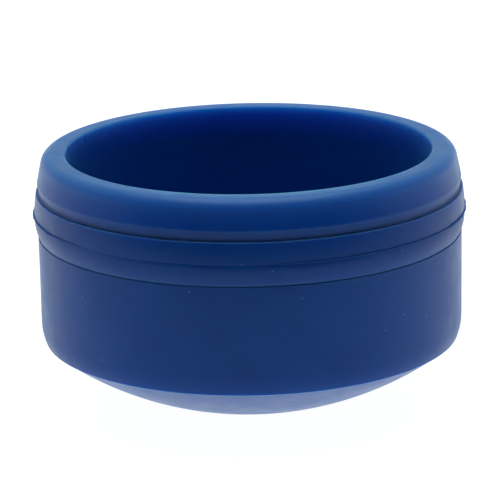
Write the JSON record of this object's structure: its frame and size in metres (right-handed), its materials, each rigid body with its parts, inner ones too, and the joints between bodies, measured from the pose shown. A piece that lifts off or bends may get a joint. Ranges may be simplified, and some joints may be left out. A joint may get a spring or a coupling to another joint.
{
  "type": "case opening friction ball",
  "caption": "Hand-held friction opener for screwed watch case backs: an open cup with a beaded grip above a plain sleeve and a ball-shaped friction face below.",
  "frame": {"origin": "centre of the contact flat in the middle of the friction dome, the lowest point of the part", "axes": "+Z is the axis of rotation, from the friction dome up to the open mouth of the cup; X and Y are equivalent"},
  "size_m": [0.0614, 0.0614, 0.0368],
  "materials": {
    "cup_blue": "satin moulded blue, fine mottling, small nicks round the mouth",
    "bead_blue": "satin moulded dark blue with a thin moulding flash round the crest",
    "sleeve_blue": "semi-matt moulded blue, faint mottling",
    "dome_pale": "soft semi-matt paler blue friction surface"
  },
  "bodies": {
    "root": {"rim_cup": "cup_blue", "grip_bead": "bead_blue", "body_sleeve": "sleeve_blue", "friction_dome": "dome_pale"}
  },
  "joints": []
}
